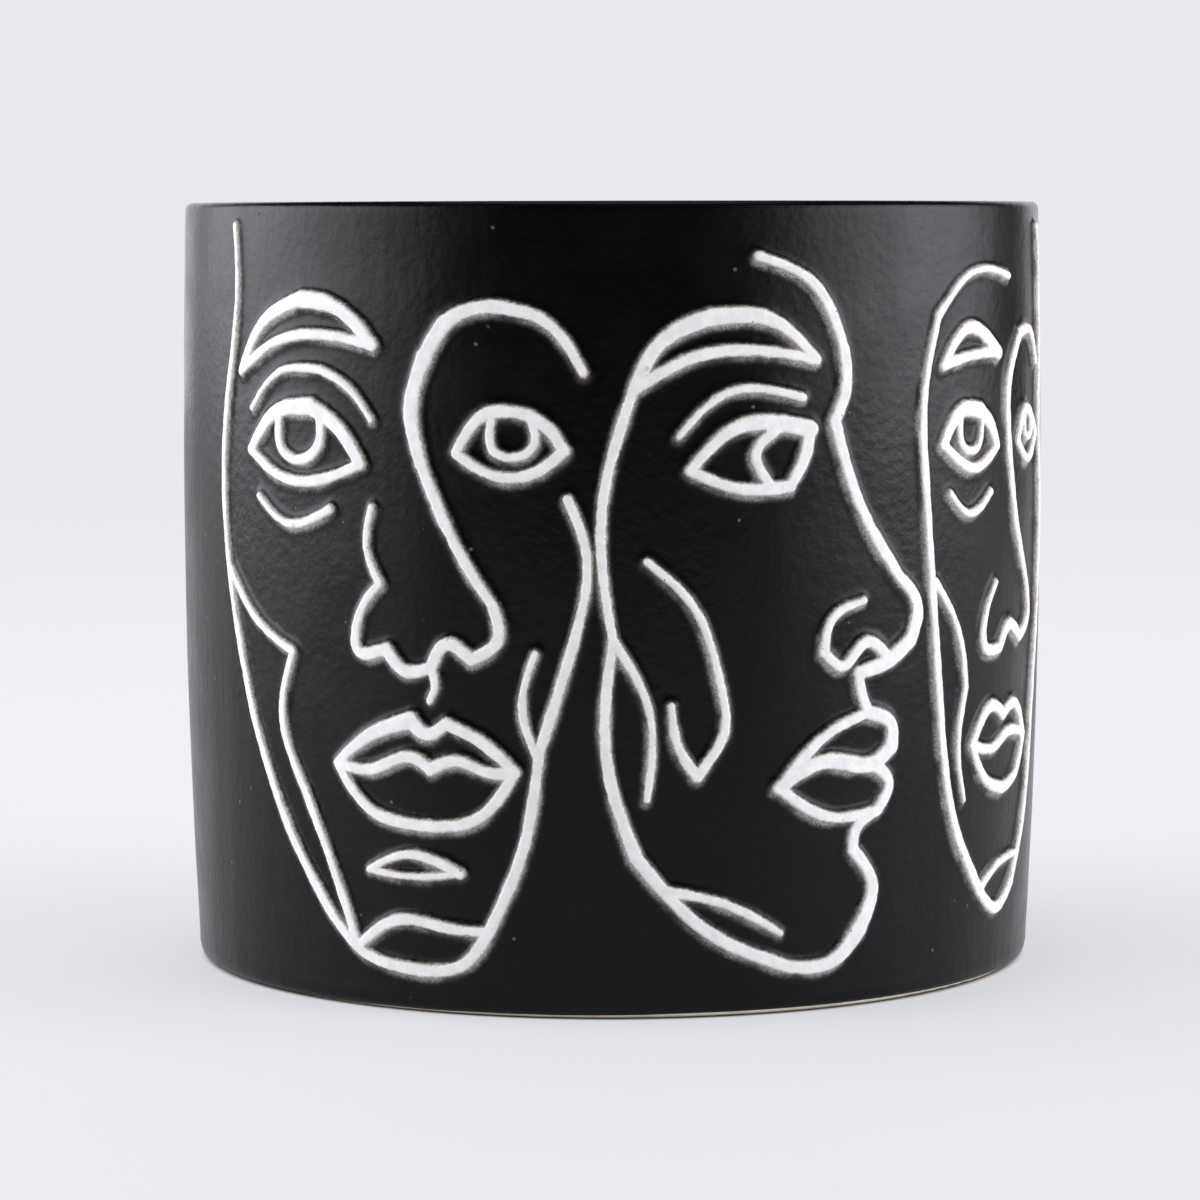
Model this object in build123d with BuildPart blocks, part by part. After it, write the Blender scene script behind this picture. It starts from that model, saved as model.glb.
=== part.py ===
"""Empty ceramic candle jar: a one-piece cup, its two glaze coats and its raised line drawings.

Millimetres, +Z up, origin at the middle of the foot on the table. The front looks towards -Y.
"""
import math
import os

from build123d import *

# Driving dimensions of the cup
JAR_HEIGHT = 87.5
GLAZE = 0.3
LINER = 0.6
RIM_RADIUS = 49.5
BELLY_RADIUS = 50.0
BELLY_HEIGHT = 55.0
BASE_RADIUS = 48.6
MOUTH_RADIUS = 45.0
FLOOR_HEIGHT = 6.5
MID_WALL_RADIUS = (MOUTH_RADIUS + BASE_RADIUS) / 2

# Roundings of the clay
FOOT_ROUND = 1.5
RIM_ROUND = 0.45
LIP_ROUND = 0.8
FLOOR_ROUND = 4.5

# Where the coats stop
FOOT_LINE = 0.35
LINER_TOP = JAR_HEIGHT - 1.6

# Hollow underside, which leaves a flat bare ring to stand on
RECESS_RADIUS = 39.0
RECESS_DEPTH = 1.2
RECESS_ROUND = 1.0

# Raised lines
RELIEF = 0.6
BAND_BOTTOM = 2.2
BAND_TOP = JAR_HEIGHT - 1.2
SIDE_POINTS = 4
TIP_REACH = 0.35

# Widths of a drawn line, from a loose end to a heavy stroke
TIP = 0.8
FINE = 1.0
THIN = 1.2
LINE = 1.4
BOLD = 1.9

# Each drawing is a set of connected line groups. A stroke is its width at the start and at the
# end, then the points it passes: millimetres along the wall from the middle of the face, height.
LEFT_FACE = {
    "outline": [
        (TIP, FINE, [(-24.6, 85.0), (-24.0, 78.0), (-25.2, 70.0)]),
        (FINE, THIN, [(-25.2, 70.0), (-27.0, 60.0), (-25.8, 46.0), (-21.4, 31.0)]),
        (THIN, LINE, [(-21.4, 31.0), (-15.8, 19.5), (-9.4, 10.4)]),
        (LINE, LINE, [(-9.4, 10.4), (-4.6, 6.2), (2.4, 4.8)]),
        (LINE, LINE, [(2.4, 4.8), (7.6, 5.6), (10.8, 9.4)]),
        (LINE, THIN, [(10.8, 9.4), (14.6, 18.0), (16.6, 29.0)]),
        (THIN, FINE, [(16.6, 29.0), (20.4, 41.0), (21.6, 51.0), (19.8, 56.0)]),
        (FINE, FINE, [(-26.0, 47.4), (-20.2, 41.6), (-14.0, 38.6)]),
        (FINE, THIN, [(-14.0, 38.6), (-16.0, 31.6), (-12.6, 23.4)]),
        (THIN, THIN, [(-12.6, 23.4), (-8.6, 15.0), (-5.4, 6.8)]),
        (THIN, THIN, [(-5.4, 6.8), (0.4, 10.2), (6.0, 9.6), (10.8, 9.4)]),
        (FINE, TIP, [(16.4, 28.4), (14.8, 33.8), (16.2, 39.6)]),
    ],
    "near_brow": [
        (THIN, BOLD, [(-23.0, 69.0), (-18.8, 74.4), (-12.4, 77.0)]),
        (BOLD, LINE, [(-12.4, 77.0), (-7.4, 76.2), (-2.4, 72.2)]),
        (THIN, THIN, [(-2.4, 72.2), (-9.4, 73.2), (-15.6, 72.6), (-23.0, 69.0)]),
    ],
    "brow_and_nose": [
        (FINE, LINE, [(21.4, 69.4), (17.4, 74.8), (11.6, 76.4)]),
        (LINE, BOLD, [(11.6, 76.4), (7.2, 75.2), (4.0, 71.0)]),
        (BOLD, LINE, [(4.0, 71.0), (2.4, 65.6), (3.6, 59.6)]),
        (LINE, THIN, [(3.6, 59.6), (7.2, 51.6), (11.6, 44.6)]),
        (THIN, LINE, [(11.6, 44.6), (12.2, 41.0), (9.2, 38.8)]),
        (LINE, LINE, [(9.2, 38.8), (6.4, 40.4), (4.6, 37.8)]),
        (LINE, LINE, [(4.6, 37.8), (1.4, 37.4), (-0.8, 39.6)]),
        (LINE, FINE, [(-0.8, 39.6), (-4.4, 39.2), (-4.2, 43.2), (-1.6, 46.6)]),
        (FINE, TIP, [(-1.6, 46.6), (-3.2, 50.4), (-2.6, 54.8)]),
        (THIN, TIP, [(4.6, 37.8), (5.0, 35.8), (4.4, 34.2)]),
    ],
    "near_eye": [
        (LINE, BOLD, [(-21.0, 60.4), (-16.6, 64.6), (-11.0, 65.4)]),
        (BOLD, LINE, [(-11.0, 65.4), (-7.2, 63.4), (-4.0, 59.4)]),
        (THIN, THIN, [(-4.0, 59.4), (-10.2, 57.4), (-16.0, 57.8), (-21.0, 60.4)]),
        (THIN, THIN, [(-15.8, 64.6), (-15.4, 60.6), (-12.6, 59.6), (-9.8, 61.2), (-9.6, 65.0)]),
    ],
    "near_eye_folds": [
        (TIP, FINE, [(-20.8, 65.0), (-16.0, 69.0), (-9.4, 69.4)]),
        (FINE, TIP, [(-9.4, 69.4), (-5.6, 67.6), (-2.6, 64.2)]),
    ],
    "near_eye_bag": [
        (TIP, FINE, [(-19.6, 55.4), (-14.6, 52.6), (-8.2, 54.4)]),
    ],
    "far_eye": [
        (THIN, LINE, [(7.6, 60.8), (11.0, 65.0), (15.4, 65.0)]),
        (LINE, THIN, [(15.4, 65.0), (17.6, 63.6), (19.4, 61.2)]),
        (THIN, THIN, [(7.6, 60.8), (12.2, 58.4), (16.2, 58.8), (19.4, 61.2)]),
        (FINE, FINE, [(11.6, 64.6), (11.8, 61.2), (14.0, 60.4), (16.2, 61.8), (15.8, 64.6)]),
    ],
    "lips": [
        (THIN, BOLD, [(-7.6, 26.8), (-3.0, 30.2), (2.0, 32.0)]),
        (BOLD, LINE, [(2.0, 32.0), (4.2, 30.6), (6.2, 31.8)]),
        (LINE, THIN, [(6.2, 31.8), (10.2, 30.0), (14.0, 26.8)]),
        (THIN, LINE, [(-7.6, 26.8), (-2.4, 26.6), (2.0, 28.0), (4.4, 26.8)]),
        (LINE, THIN, [(4.4, 26.8), (7.6, 27.8), (10.6, 26.8), (14.0, 26.8)]),
        (THIN, LINE, [(-7.6, 26.8), (-3.2, 22.0), (3.2, 20.6)]),
        (LINE, THIN, [(3.2, 20.6), (9.6, 21.6), (14.0, 26.8)]),
    ],
    "chin": [
        (TIP, THIN, [(-3.6, 15.4), (1.6, 17.4), (7.6, 15.6)]),
        (TIP, TIP, [(-3.6, 15.4), (2.0, 15.0), (7.6, 15.6)]),
    ],
}

MIDDLE_FACE = {
    "profile": [
        (FINE, LINE, [(0.6, 81.6), (7.0, 78.6), (10.6, 71.6)]),
        (LINE, LINE, [(10.6, 71.6), (10.8, 67.6), (9.4, 64.0)]),
        (LINE, LINE, [(9.4, 64.0), (12.4, 55.4), (18.0, 47.0)]),
        (LINE, BOLD, [(18.0, 47.0), (20.8, 43.4), (19.8, 40.0)]),
        (BOLD, LINE, [(19.8, 40.0), (16.4, 37.8), (12.6, 36.8)]),
        (LINE, THIN, [(12.6, 36.8), (13.2, 34.2), (14.0, 32.4)]),
        (LINE, BOLD, [(14.0, 32.4), (17.2, 30.8), (17.2, 28.4)]),
        (BOLD, LINE, [(17.2, 28.4), (14.6, 26.8), (9.0, 27.4), (3.0, 24.8)]),
        (LINE, LINE, [(14.6, 26.8), (17.0, 24.6), (15.4, 21.6)]),
        (LINE, LINE, [(15.4, 21.6), (12.6, 19.8), (12.2, 17.6)]),
        (LINE, BOLD, [(12.2, 17.6), (15.0, 13.4), (13.4, 8.8)]),
        (BOLD, LINE, [(13.4, 8.8), (9.8, 5.4), (4.6, 5.2)]),
        (LINE, LINE, [(4.6, 5.2), (-5.0, 9.6), (-12.8, 17.8)]),
        (LINE, FINE, [(-12.8, 17.8), (-15.8, 27.6), (-15.2, 41.0)]),
        (FINE, THIN, [(-15.2, 41.0), (-16.4, 54.0), (-13.0, 67.6)]),
        (THIN, TIP, [(-9.4, 14.0), (-3.4, 12.6), (3.4, 9.0)]),
        (FINE, TIP, [(-15.2, 41.0), (-11.4, 33.6), (-11.6, 24.0)]),
        (THIN, THIN, [(14.0, 32.4), (9.2, 30.6), (3.0, 24.8)]),
        (THIN, THIN, [(3.0, 24.8), (8.8, 21.4), (15.4, 21.6)]),
        (LINE, THIN, [(16.8, 38.0), (13.4, 40.0), (10.6, 37.6), (8.2, 39.2)]),
        (THIN, TIP, [(8.2, 39.2), (9.2, 42.8), (13.2, 44.6)]),
    ],
    "eye": [
        (THIN, BOLD, [(-7.0, 59.0), (-1.8, 63.6), (6.4, 63.2)]),
        (LINE, LINE, [(6.4, 63.2), (5.6, 60.0), (4.0, 57.2)]),
        (LINE, THIN, [(4.0, 57.2), (-1.4, 57.0), (-7.0, 59.0)]),
        (THIN, THIN, [(2.6, 63.4), (0.2, 60.8), (1.8, 57.2)]),
    ],
    "eye_fold": [
        (TIP, FINE, [(-8.2, 62.6), (-3.0, 67.2), (5.6, 66.6)]),
    ],
    "brow": [
        (THIN, BOLD, [(7.2, 70.6), (1.6, 75.0), (-4.8, 75.2)]),
        (BOLD, THIN, [(-4.8, 75.2), (-9.6, 73.0), (-13.0, 67.6)]),
        (THIN, THIN, [(-13.0, 67.6), (-5.8, 71.2), (1.0, 71.6), (7.2, 70.6)]),
    ],
    "cheek": [
        (TIP, FINE, [(-11.6, 49.4), (-6.8, 44.8), (-3.8, 36.6)]),
        (FINE, THIN, [(-3.8, 36.6), (-3.2, 31.4), (-6.2, 26.4)]),
        (THIN, TIP, [(-6.2, 26.4), (-8.0, 29.0), (-9.0, 34.0)]),
    ],
}

RIGHT_FACE = {
    "outline": [
        (TIP, FINE, [(13.0, 84.8), (13.6, 76.0), (13.2, 68.4)]),
        (FINE, THIN, [(13.2, 68.4), (12.8, 63.0), (13.4, 55.0)]),
        (THIN, THIN, [(13.4, 55.0), (12.8, 43.0), (10.6, 30.0)]),
        (THIN, LINE, [(10.6, 30.0), (8.6, 18.0), (4.8, 10.6)]),
        (LINE, LINE, [(4.8, 10.6), (0.6, 8.2), (-4.0, 10.8)]),
        (LINE, THIN, [(-4.0, 10.8), (-9.4, 18.4), (-12.4, 29.0)]),
        (THIN, THIN, [(-12.4, 29.0), (-14.0, 42.0), (-15.4, 56.0)]),
        (THIN, FINE, [(-15.4, 56.0), (-15.8, 66.0), (-13.4, 75.0)]),
        (FINE, TIP, [(-13.4, 75.0), (-7.4, 79.6), (1.4, 79.2)]),
        (FINE, FINE, [(-13.8, 46.0), (-9.8, 40.4), (-8.2, 34.0)]),
        (FINE, TIP, [(-8.2, 34.0), (-9.4, 27.4), (-8.0, 21.4)]),
        (THIN, TIP, [(-4.0, 10.8), (0.0, 13.0), (6.4, 13.8)]),
    ],
    "brow_and_nose": [
        (TIP, THIN, [(11.4, 69.4), (8.8, 73.0), (4.8, 72.8)]),
        (THIN, LINE, [(4.8, 72.8), (1.4, 68.0), (1.2, 60.0)]),
        (LINE, THIN, [(1.2, 60.0), (3.6, 51.0), (7.2, 44.4)]),
        (THIN, LINE, [(7.2, 44.4), (8.0, 40.8), (5.0, 38.6)]),
        (LINE, LINE, [(5.0, 38.6), (1.6, 40.2), (-0.8, 37.8)]),
        (LINE, TIP, [(-0.8, 37.8), (-4.4, 38.2), (-4.2, 42.0), (-2.0, 45.2)]),
    ],
    "near_brow": [
        (THIN, BOLD, [(-12.6, 69.6), (-8.2, 73.6), (-1.6, 70.8)]),
        (THIN, THIN, [(-1.6, 70.8), (-7.2, 70.6), (-12.6, 69.6)]),
    ],
    "near_eye": [
        (LINE, BOLD, [(-12.6, 61.0), (-9.4, 64.6), (-5.6, 64.4)]),
        (BOLD, THIN, [(-5.6, 64.4), (-3.4, 62.8), (-2.0, 60.4)]),
        (THIN, THIN, [(-2.0, 60.4), (-6.8, 58.2), (-12.6, 61.0)]),
        (FINE, FINE, [(-9.6, 64.2), (-9.0, 60.6), (-6.8, 60.2), (-5.4, 63.8)]),
    ],
    "near_eye_bag": [
        (TIP, FINE, [(-11.4, 55.6), (-7.8, 53.2), (-3.4, 55.4)]),
    ],
    "far_eye": [
        (THIN, LINE, [(3.8, 60.8), (6.8, 64.2), (10.8, 61.4)]),
        (THIN, THIN, [(3.8, 60.8), (7.4, 58.6), (10.8, 61.4)]),
        (FINE, FINE, [(6.2, 63.8), (6.6, 61.2), (8.4, 61.4), (8.6, 63.4)]),
    ],
    "lips": [
        (THIN, LINE, [(-6.6, 27.4), (-2.2, 31.4), (0.6, 30.2)]),
        (LINE, THIN, [(0.6, 30.2), (3.4, 31.2), (7.2, 27.4)]),
        (THIN, THIN, [(-6.6, 27.4), (-1.2, 26.8), (1.0, 27.8), (7.2, 27.4)]),
        (THIN, LINE, [(-6.6, 27.4), (-3.4, 23.2), (0.8, 21.8)]),
        (LINE, THIN, [(0.8, 21.8), (4.6, 23.0), (7.2, 27.4)]),
    ],
}

# Name, azimuth of its middle in degrees from the front towards +X, drawing
FACES = [
    ("left_face", -28.0, LEFT_FACE),
    ("middle_face", 17.5, MIDDLE_FACE),
    ("right_face", 60.5, RIGHT_FACE),
]

# The mould has two equal halves, so the drawings come again on the far side of the jar
HALVES = [("front", 0.0), ("back", 180.0)]


def cup_section(coat, liner):
    """Half section of the cup with a coat of some thickness outside and another inside."""
    bottom = -coat
    top = JAR_HEIGHT - GLAZE + coat
    floor = FLOOR_HEIGHT - LINER + liner
    bore = MOUTH_RADIUS + LINER - liner
    wall_shift = coat - GLAZE
    roundings = [
        (BASE_RADIUS, bottom, FOOT_ROUND + coat),
        (RIM_RADIUS, top, RIM_ROUND + coat),
        (bore, top, LIP_ROUND + coat),
        (bore, floor, FLOOR_ROUND - liner),
    ]
    with BuildSketch(Plane.XZ) as section:
        with BuildLine():
            wall = ThreePointArc(
                (BASE_RADIUS + wall_shift, bottom),
                (BELLY_RADIUS + wall_shift, BELLY_HEIGHT),
                (RIM_RADIUS + wall_shift, top),
            )
            Polyline(wall @ 1, (bore, top), (bore, floor), (0, floor), (0, bottom), wall @ 0)
        make_face()
        for corner_x, corner_z, radius in roundings:
            corner = section.vertices().sort_by_distance((corner_x, corner_z))[0]
            fillet(corner, radius)
    return section.sketch


def layer(inside, outside):
    """Half section of what lies between two cups, each given as its coat and liner."""
    with BuildSketch(Plane.XZ) as section:
        add(cup_section(*outside))
        add(cup_section(*inside), mode=Mode.SUBTRACT)
    return section.sketch


def panel(azimuth):
    """Upright plane through the jar's axis that looks out at an azimuth from the front."""
    angle = math.radians(azimuth)
    return Plane(
        origin=(0, 0, 0),
        x_dir=(math.cos(angle), math.sin(angle), 0),
        z_dir=(math.sin(angle), -math.cos(angle), 0),
    )


def stroke_outline(start_width, end_width, points):
    """Closed outline of one stroke: one long side, a blunt tip, the other side and the first tip."""
    spine = Spline(*points)
    left = []
    right = []
    for step in range(SIDE_POINTS):
        t = step / (SIDE_POINTS - 1)
        half = (start_width + (end_width - start_width) * t) / 2
        along = spine % t
        across = Vector(-along.Y, along.X) * half
        left.append(spine @ t + across)
        right.append(spine @ t - across)
    start_tip = spine @ 0 - (spine % 0) * (start_width * TIP_REACH)
    end_tip = spine @ 1 + (spine % 1) * (end_width * TIP_REACH)
    return [start_tip, *left, end_tip, *reversed(right)]


def raised_lines(strokes, face_azimuth, band):
    """One connected group of lines: its strokes, pushed out through the wall's relief band."""
    reach = [point[0] for stroke in strokes for point in stroke[2]]
    middle = (min(reach) + max(reach)) / 2
    azimuth = face_azimuth + math.degrees(middle / BELLY_RADIUS)
    outlines = []
    for start_width, end_width, points in strokes:
        flat = [(BELLY_RADIUS * math.sin((x - middle) / BELLY_RADIUS), z) for x, z in points]
        outlines.append(stroke_outline(start_width, end_width, flat))
    with BuildPart() as lines:
        with BuildSketch(panel(azimuth)):
            for outline in outlines:
                with BuildLine():
                    Polyline(*outline, close=True)
                make_face()
        extrude(amount=BELLY_RADIUS * 2)
        add(band, mode=Mode.INTERSECT)
    return lines.part


def finish(part, label):
    """Name a finished piece and write it."""
    part.label = label
    export_step(part, f"parts/{label}.step")


os.makedirs("parts", exist_ok=True)

# Coat and liner of the bare clay cup, and of the glazed one
BARE = (0, 0)
GLAZED = (GLAZE, LINER)

# Clay cup: wall, floor, rounded rim and a bare foot ring round a shallow hollow
with BuildPart() as ceramic_body:
    with BuildSketch(Plane.XZ) as clay:
        add(cup_section(*BARE))
        Rectangle(RECESS_RADIUS, RECESS_DEPTH, align=Align.MIN, mode=Mode.SUBTRACT)
        fillet(clay.vertices().sort_by_distance((RECESS_RADIUS, RECESS_DEPTH))[0], RECESS_ROUND)
    revolve(axis=Axis.Z)
finish(ceramic_body.part, "ceramic_body")

# Black coat: the outside of the wall and the whole rim, down to just inside the mouth
with BuildPart() as outer_glaze:
    with BuildSketch(Plane.XZ):
        add(layer(BARE, GLAZED))
        Rectangle(MID_WALL_RADIUS, LINER_TOP, align=Align.MIN, mode=Mode.SUBTRACT)
        with Locations((0, FOOT_LINE)):
            Rectangle(JAR_HEIGHT, JAR_HEIGHT, align=Align.MIN, mode=Mode.INTERSECT)
    revolve(axis=Axis.Z)
finish(outer_glaze.part, "outer_glaze")

# Liner: the coat of the bore and the floor
with BuildPart() as inner_glaze:
    with BuildSketch(Plane.XZ):
        add(layer(BARE, GLAZED))
        Rectangle(MID_WALL_RADIUS, LINER_TOP, align=Align.MIN, mode=Mode.INTERSECT)
    revolve(axis=Axis.Z)
finish(inner_glaze.part, "inner_glaze")

# The raised lines fill a band that stands proud of the black coat
with BuildPart() as relief_band:
    with BuildSketch(Plane.XZ):
        add(layer(GLAZED, (GLAZE + RELIEF, LINER)))
        with Locations((MID_WALL_RADIUS, BAND_BOTTOM)):
            Rectangle(JAR_HEIGHT, BAND_TOP - BAND_BOTTOM, align=Align.MIN, mode=Mode.INTERSECT)
    revolve(axis=Axis.Z)

for face_name, face_azimuth, drawing in FACES:
    groups = []
    for strokes in drawing.values():
        groups.append(raised_lines(strokes, face_azimuth, relief_band.part))
    for half_name, half_turn in HALVES:
        with BuildPart() as raised:
            add(groups, rotation=(0, 0, half_turn))
        finish(raised.part, f"{half_name}_{face_name}")
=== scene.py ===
"""Looks of the empty ceramic candle jar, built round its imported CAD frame.

Metres, +Z up, origin at the middle of the foot. The front looks towards -Y. Distances in the
drawings are millimetres along the wall from the middle of each face, and heights above the table.
"""
import math

import bpy
import numpy as np
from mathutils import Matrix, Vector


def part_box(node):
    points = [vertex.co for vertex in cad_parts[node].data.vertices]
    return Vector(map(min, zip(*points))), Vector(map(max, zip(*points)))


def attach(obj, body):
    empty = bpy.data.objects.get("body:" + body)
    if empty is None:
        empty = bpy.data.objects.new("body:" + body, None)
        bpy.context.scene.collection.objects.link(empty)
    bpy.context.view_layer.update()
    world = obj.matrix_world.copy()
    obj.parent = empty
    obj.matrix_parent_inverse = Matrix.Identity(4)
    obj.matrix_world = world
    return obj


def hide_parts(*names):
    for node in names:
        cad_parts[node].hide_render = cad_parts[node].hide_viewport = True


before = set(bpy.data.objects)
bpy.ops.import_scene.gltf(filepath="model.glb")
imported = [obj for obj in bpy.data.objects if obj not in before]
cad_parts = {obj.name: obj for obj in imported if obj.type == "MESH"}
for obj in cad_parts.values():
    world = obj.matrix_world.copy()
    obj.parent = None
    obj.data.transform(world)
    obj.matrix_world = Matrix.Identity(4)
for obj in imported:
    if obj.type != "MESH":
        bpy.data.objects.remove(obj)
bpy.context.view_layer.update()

MM = 0.001

# The wall, in millimetres, as the CAD has it
JAR_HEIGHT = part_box("outer_glaze")[1][2] / MM
RIM_RADIUS = 49.5
BELLY_RADIUS = 50.0
BELLY_HEIGHT = 55.0
BASE_RADIUS = 48.6
MOUTH_RADIUS = 45.0
GLAZE = 0.3
LINER = 0.6
FOOT_ROUND = 1.5
RIM_ROUND = 0.45
LIP_ROUND = 0.8
FOOT_LINE = 0.35
LINER_TOP = JAR_HEIGHT - 1.6
HALF_TURN = math.pi * BELLY_RADIUS

# Widths of a drawn line, from a loose end to a heavy stroke
TIP = 0.8
FINE = 1.0
THIN = 1.2
LINE = 1.4
BOLD = 1.9

# Each drawing is a set of connected line groups. A stroke is its width at the start and at the
# end, then the points it passes: millimetres along the wall from the middle of the face, height.
LEFT_FACE = {
    "outline": [
        (TIP, FINE, [(-24.6, 85.0), (-24.0, 78.0), (-25.2, 70.0)]),
        (FINE, THIN, [(-25.2, 70.0), (-27.0, 60.0), (-25.8, 46.0), (-21.4, 31.0)]),
        (THIN, LINE, [(-21.4, 31.0), (-15.8, 19.5), (-9.4, 10.4)]),
        (LINE, LINE, [(-9.4, 10.4), (-4.6, 6.2), (2.4, 4.8)]),
        (LINE, LINE, [(2.4, 4.8), (7.6, 5.6), (10.8, 9.4)]),
        (LINE, THIN, [(10.8, 9.4), (14.6, 18.0), (16.6, 29.0)]),
        (THIN, FINE, [(16.6, 29.0), (20.4, 41.0), (21.6, 51.0), (19.8, 56.0)]),
        (FINE, FINE, [(-26.0, 47.4), (-20.2, 41.6), (-14.0, 38.6)]),
        (FINE, THIN, [(-14.0, 38.6), (-16.0, 31.6), (-12.6, 23.4)]),
        (THIN, THIN, [(-12.6, 23.4), (-8.6, 15.0), (-5.4, 6.8)]),
        (THIN, THIN, [(-5.4, 6.8), (0.4, 10.2), (6.0, 9.6), (10.8, 9.4)]),
        (FINE, TIP, [(16.4, 28.4), (14.8, 33.8), (16.2, 39.6)]),
    ],
    "near_brow": [
        (THIN, BOLD, [(-23.0, 69.0), (-18.8, 74.4), (-12.4, 77.0)]),
        (BOLD, LINE, [(-12.4, 77.0), (-7.4, 76.2), (-2.4, 72.2)]),
        (THIN, THIN, [(-2.4, 72.2), (-9.4, 73.2), (-15.6, 72.6), (-23.0, 69.0)]),
    ],
    "brow_and_nose": [
        (FINE, LINE, [(21.4, 69.4), (17.4, 74.8), (11.6, 76.4)]),
        (LINE, BOLD, [(11.6, 76.4), (7.2, 75.2), (4.0, 71.0)]),
        (BOLD, LINE, [(4.0, 71.0), (2.4, 65.6), (3.6, 59.6)]),
        (LINE, THIN, [(3.6, 59.6), (7.2, 51.6), (11.6, 44.6)]),
        (THIN, LINE, [(11.6, 44.6), (12.2, 41.0), (9.2, 38.8)]),
        (LINE, LINE, [(9.2, 38.8), (6.4, 40.4), (4.6, 37.8)]),
        (LINE, LINE, [(4.6, 37.8), (1.4, 37.4), (-0.8, 39.6)]),
        (LINE, FINE, [(-0.8, 39.6), (-4.4, 39.2), (-4.2, 43.2), (-1.6, 46.6)]),
        (FINE, TIP, [(-1.6, 46.6), (-3.2, 50.4), (-2.6, 54.8)]),
        (THIN, TIP, [(4.6, 37.8), (5.0, 35.8), (4.4, 34.2)]),
    ],
    "near_eye": [
        (LINE, BOLD, [(-21.0, 60.4), (-16.6, 64.6), (-11.0, 65.4)]),
        (BOLD, LINE, [(-11.0, 65.4), (-7.2, 63.4), (-4.0, 59.4)]),
        (THIN, THIN, [(-4.0, 59.4), (-10.2, 57.4), (-16.0, 57.8), (-21.0, 60.4)]),
        (THIN, THIN, [(-15.8, 64.6), (-15.4, 60.6), (-12.6, 59.6), (-9.8, 61.2), (-9.6, 65.0)]),
    ],
    "near_eye_folds": [
        (TIP, FINE, [(-20.8, 65.0), (-16.0, 69.0), (-9.4, 69.4)]),
        (FINE, TIP, [(-9.4, 69.4), (-5.6, 67.6), (-2.6, 64.2)]),
    ],
    "near_eye_bag": [
        (TIP, FINE, [(-19.6, 55.4), (-14.6, 52.6), (-8.2, 54.4)]),
    ],
    "far_eye": [
        (THIN, LINE, [(7.6, 60.8), (11.0, 65.0), (15.4, 65.0)]),
        (LINE, THIN, [(15.4, 65.0), (17.6, 63.6), (19.4, 61.2)]),
        (THIN, THIN, [(7.6, 60.8), (12.2, 58.4), (16.2, 58.8), (19.4, 61.2)]),
        (FINE, FINE, [(11.6, 64.6), (11.8, 61.2), (14.0, 60.4), (16.2, 61.8), (15.8, 64.6)]),
    ],
    "lips": [
        (THIN, BOLD, [(-7.6, 26.8), (-3.0, 30.2), (2.0, 32.0)]),
        (BOLD, LINE, [(2.0, 32.0), (4.2, 30.6), (6.2, 31.8)]),
        (LINE, THIN, [(6.2, 31.8), (10.2, 30.0), (14.0, 26.8)]),
        (THIN, LINE, [(-7.6, 26.8), (-2.4, 26.6), (2.0, 28.0), (4.4, 26.8)]),
        (LINE, THIN, [(4.4, 26.8), (7.6, 27.8), (10.6, 26.8), (14.0, 26.8)]),
        (THIN, LINE, [(-7.6, 26.8), (-3.2, 22.0), (3.2, 20.6)]),
        (LINE, THIN, [(3.2, 20.6), (9.6, 21.6), (14.0, 26.8)]),
    ],
    "chin": [
        (TIP, THIN, [(-3.6, 15.4), (1.6, 17.4), (7.6, 15.6)]),
        (TIP, TIP, [(-3.6, 15.4), (2.0, 15.0), (7.6, 15.6)]),
    ],
}

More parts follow.
